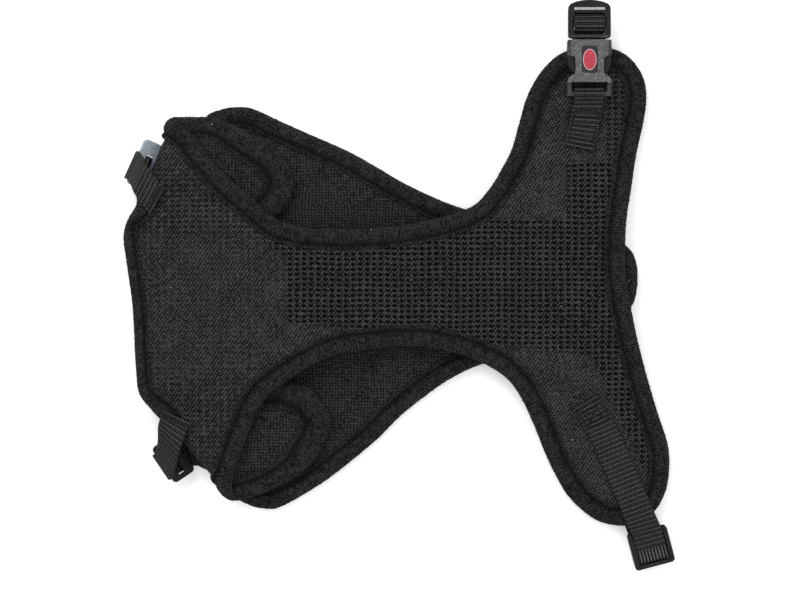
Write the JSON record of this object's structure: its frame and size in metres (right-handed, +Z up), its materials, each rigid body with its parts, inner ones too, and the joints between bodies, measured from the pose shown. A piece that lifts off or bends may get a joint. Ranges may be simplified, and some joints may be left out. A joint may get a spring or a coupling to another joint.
{
  "type": "mesh dog harness",
  "caption": "Small soft mesh dog harness lying flat, belly side up, with bound chest and back panels, webbing, a side-release buckle, slider, neck adjusters and a leash ring.",
  "frame": {"origin": "centre of the bounding box in plan, at the bottom, on the surface the harness lies on", "axes": "+Z up, out of the belly side; +X from the neck to the tail; +Y towards the buckle's wing"},
  "size_m": [0.2758, 0.2851, 0.0209],
  "materials": {
    "spacer_mesh": "open polyester spacer mesh, matt, cool dark grey",
    "foam": "thin polyester foam",
    "lining": "fine woven lining, matt black",
    "binding": "fuzzy ribbed knit binding, near black",
    "webbing": "woven nylon webbing with cross ribs, semi gloss",
    "buckle_plastic": "moulded acetal, dark grey satin",
    "grey_plastic": "moulded plastic, pale grey",
    "badge": "red badge with a pale rim",
    "steel": "plated steel wire"
  },
  "bodies": {
    "harness": {"chest_mesh": "spacer_mesh", "chest_padding": "foam", "chest_lining": "lining", "chest_binding": "binding", "back_mesh": "spacer_mesh", "back_padding": "foam", "back_lining": "lining", "back_binding": "binding", "buckle_tab": "webbing", "buckle_socket": "buckle_plastic", "buckle_badge": "badge", "girth_strap": "webbing", "slider_strap": "webbing", "shoulder_tab_upper": "webbing", "shoulder_tab_lower": "webbing", "shoulder_strap_upper": "webbing", "shoulder_strap_lower": "webbing"},
    "plug": {"buckle_plug": "buckle_plastic", "girth_strap_loop": "webbing"},
    "prong_left": {"buckle_prong_left": "buckle_plastic"},
    "prong_right": {"buckle_prong_right": "buckle_plastic"},
    "slider": {"slider": "buckle_plastic", "slider_fold": "webbing"},
    "adjuster_upper": {"shoulder_adjuster_upper": "grey_plastic"},
    "adjuster_lower": {"shoulder_adjuster_lower": "buckle_plastic"},
    "ring": {"leash_ring": "steel"}
  },
  "joints": [
    {"name": "plug_release", "type": "slide", "parent": "harness", "child": "plug", "axis": [0, 1, 0], "range_m": [0, 0.02]},
    {"name": "prong_left_flex", "type": "hinge", "parent": "plug", "child": "prong_left", "pos_m": [0.0873, 0.122, 0.01335], "axis": [0, 0, 1], "range_deg": [0, 7], "stiffness_Nm_per_rad": 0.005},
    {"name": "prong_right_flex", "type": "hinge", "parent": "plug", "child": "prong_right", "pos_m": [0.1013, 0.122, 0.01335], "axis": [0, 0, -1], "range_deg": [0, 7], "stiffness_Nm_per_rad": 0.005},
    {"name": "slider_slide", "type": "slide", "parent": "harness", "child": "slider", "axis": [0.2588, -0.9659, 0], "range_m": [-0.0025, 0.009]},
    {"name": "adjuster_upper_swing", "type": "hinge", "parent": "harness", "child": "adjuster_upper", "pos_m": [-0.13149, 0.05932, 0.0096], "axis": [0.4108, 0.9117, 0], "range_deg": [-5, 3]},
    {"name": "adjuster_lower_swing", "type": "hinge", "parent": "harness", "child": "adjuster_lower", "pos_m": [-0.11661, -0.08885, 0.0096], "axis": [0.5593, -0.829, 0], "range_deg": [-3, 5]},
    {"name": "leash_ring_swing", "type": "hinge", "parent": "harness", "child": "ring", "pos_m": [0.095, -0.002, 0.00335], "axis": [-1, 0, 0], "range_deg": [0, 100]}
  ]
}
